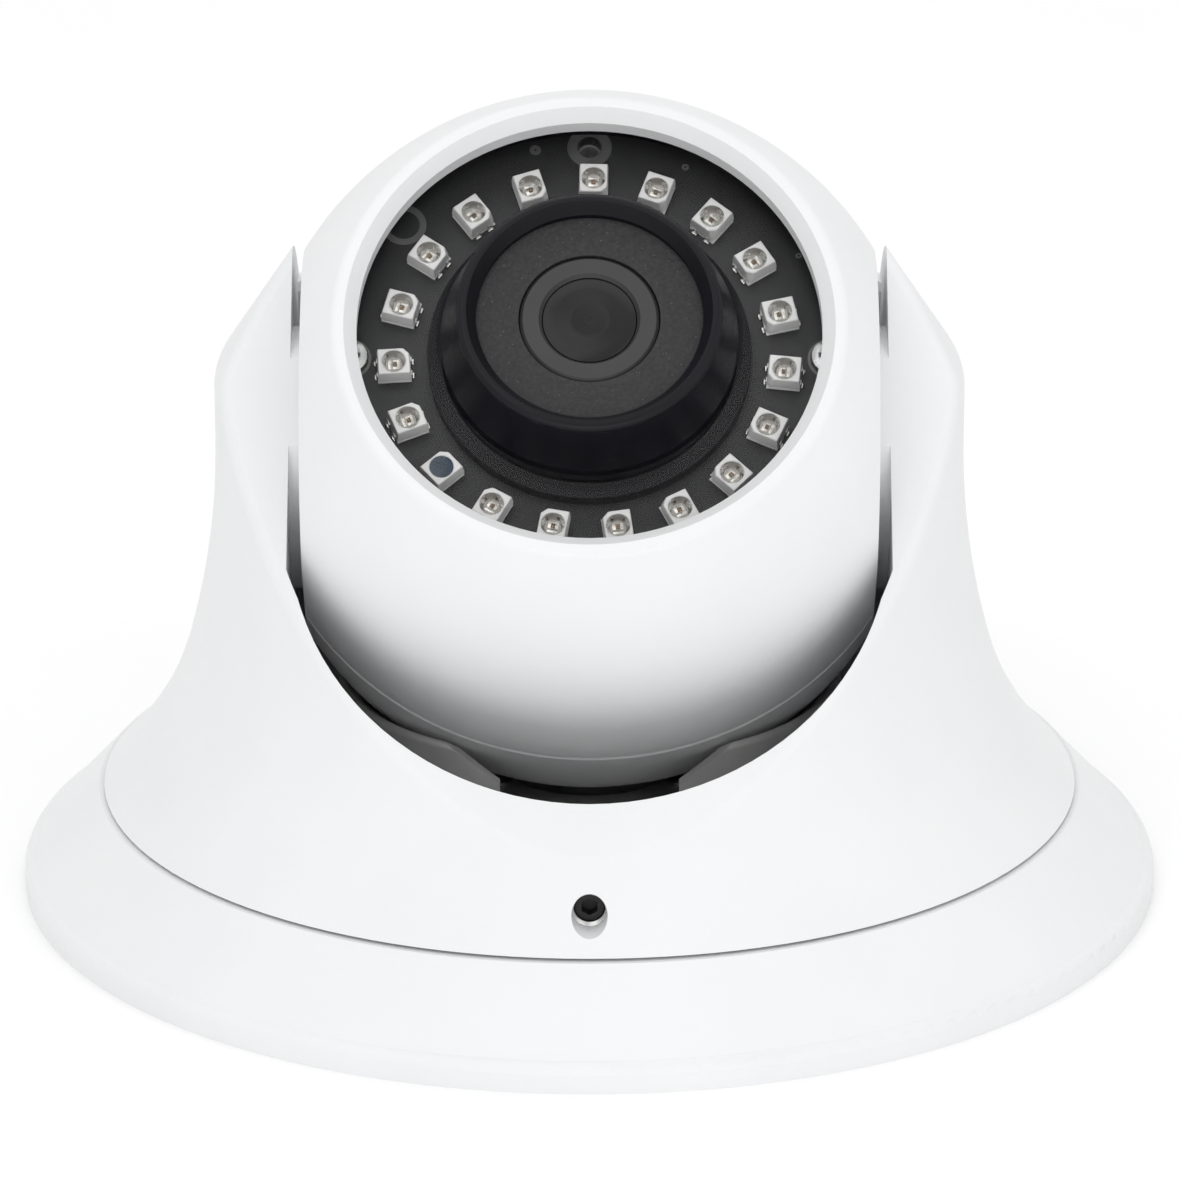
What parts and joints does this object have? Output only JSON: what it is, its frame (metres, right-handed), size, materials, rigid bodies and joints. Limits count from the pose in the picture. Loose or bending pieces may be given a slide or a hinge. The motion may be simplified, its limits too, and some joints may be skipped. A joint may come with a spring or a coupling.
{
  "type": "dome cctv camera",
  "caption": "Turret dome camera: an infrared eyeball tilts in a bell-shaped shroud that turns on a round surface-mount base.",
  "frame": {"origin": "centre of the base's back face, on the pan axis", "axes": "+Z out of the mounting surface along the pan axis, -Y to the front where the lens looks at rest, +X along the tilt axis"},
  "size_m": [0.1122, 0.1122, 0.0805],
  "materials": {
    "white_paint": "satin, fine orange peel",
    "black_rubber": "matte",
    "cast_grey": "cast, satin",
    "steel": "satin",
    "dark_steel": "black oxide",
    "brass": "satin",
    "clear_cover": "clear",
    "black_plastic": "satin",
    "black_board": "satin solder mask",
    "led_white": "satin",
    "led_resin": "clear",
    "tinned": "bright",
    "sensor_glass": "gloss",
    "black_grain": "granular, matte",
    "dark_ring": "smooth satin",
    "lens_glass": "coated, clear",
    "filter_glass": "clear",
    "sensor_chip": "gloss",
    "green_board": "solder mask",
    "chip_black": "matte",
    "connector_white": "satin",
    "capacitor_can": "satin"
  },
  "bodies": {
    "base": {"base_flange": "white_paint", "base_gasket": "black_rubber", "swivel_washer": "cast_grey", "swivel_screws": "steel"},
    "turntable": {"shroud": "white_paint", "ball_seat": "cast_grey", "lock_screw": "dark_steel"},
    "eyeball": {"front_housing": "white_paint", "rear_housing": "white_paint", "housing_oring": "black_rubber", "window_gasket": "black_rubber", "cable_gland": "black_rubber", "module_bracket": "cast_grey", "retaining_ring": "cast_grey", "led_board_screws": "steel", "board_screws": "steel", "board_standoffs": "brass", "pivot_pins": "steel", "window_cover": "clear_cover", "window_spacer": "black_plastic", "led_board": "black_board", "led_packages": "led_white", "led_resin": "led_resin", "led_leads": "tinned", "light_sensor": "led_white", "sensor_resin": "sensor_glass", "lens_hood": "black_plastic", "baffle_disc": "black_grain", "lens_barrel": "dark_ring", "front_lens": "lens_glass", "rear_lens": "lens_glass", "aperture_ring": "black_grain", "lens_holder": "black_plastic", "ir_cut_filter": "filter_glass", "image_sensor": "sensor_chip", "main_board": "green_board", "processor": "chip_black", "board_connectors": "connector_white", "inductor": "chip_black", "capacitors": "capacitor_can"}
  },
  "joints": [
    {"name": "pan", "type": "hinge", "parent": "base", "child": "turntable", "pos_m": [0, 0, 0], "axis": [0, 0, 1], "range_deg": [-177.5, 177.5]},
    {"name": "tilt", "type": "hinge", "parent": "turntable", "child": "eyeball", "pos_m": [0, 0, 0.0432], "axis": [1, 0, 0], "range_deg": [-45, 12]}
  ]
}
